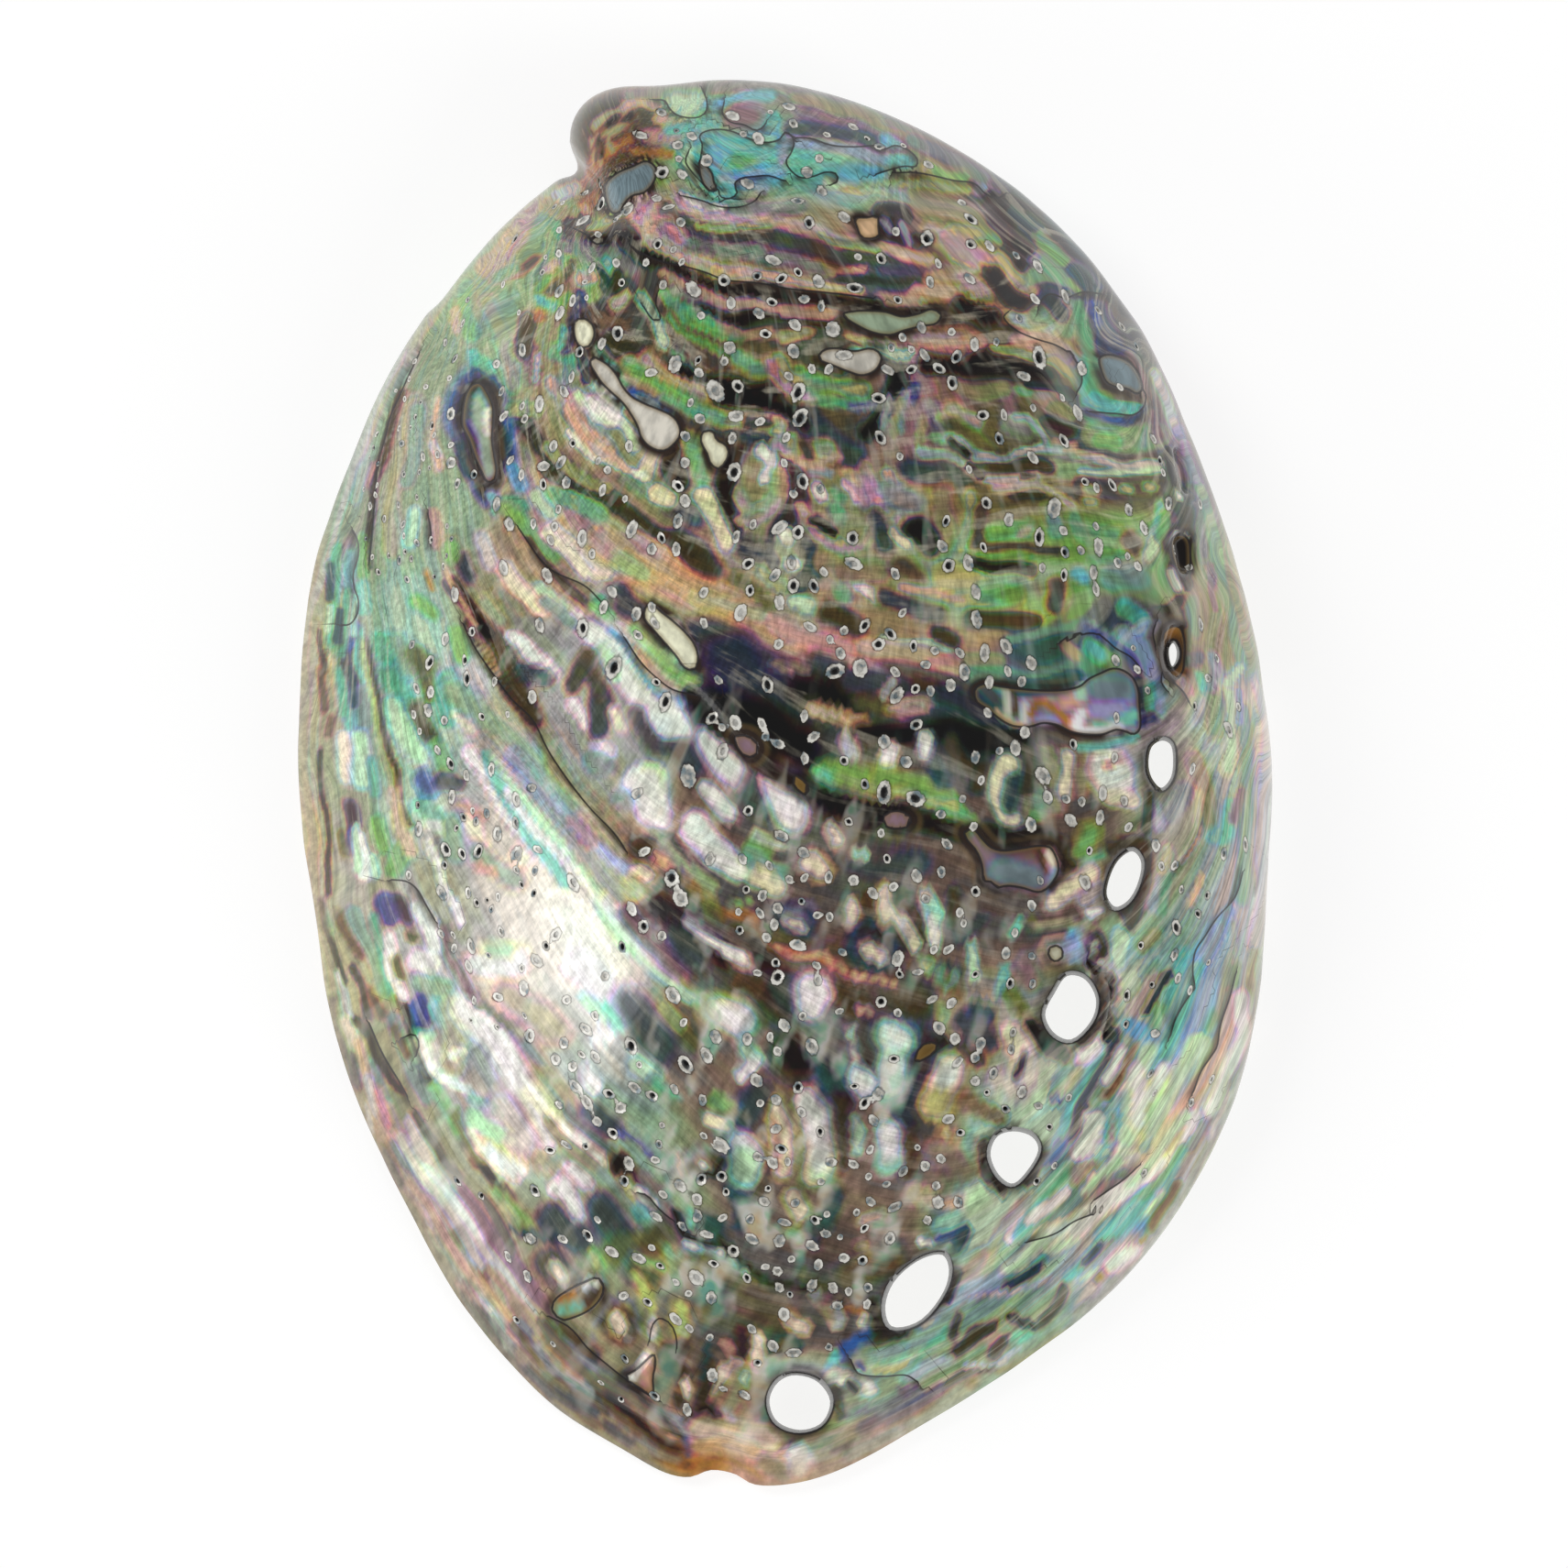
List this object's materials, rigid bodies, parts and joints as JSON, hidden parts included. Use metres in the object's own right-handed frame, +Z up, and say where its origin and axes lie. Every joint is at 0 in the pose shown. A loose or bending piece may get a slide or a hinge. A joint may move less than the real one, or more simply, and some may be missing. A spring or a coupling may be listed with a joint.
{
  "type": "abalone shell",
  "caption": "Polished abalone shell: a low oval ear-shaped dome with a small spire near one end, a curved row of open holes, iridescent nacre and a flat rim to rest on.",
  "frame": {"origin": "centre of the shell's outline, on the plane that its rim lies on", "axes": "+Z up out of the back of the shell, +Y along its length towards the spire, +X towards the row of holes"},
  "size_m": [0.104, 0.1498, 0.0423],
  "materials": {
    "nacre": "polished iridescent mother of pearl in green, pink, teal and silver with dark growth lines"
  },
  "bodies": {
    "root": {"shell": "nacre"}
  },
  "joints": []
}
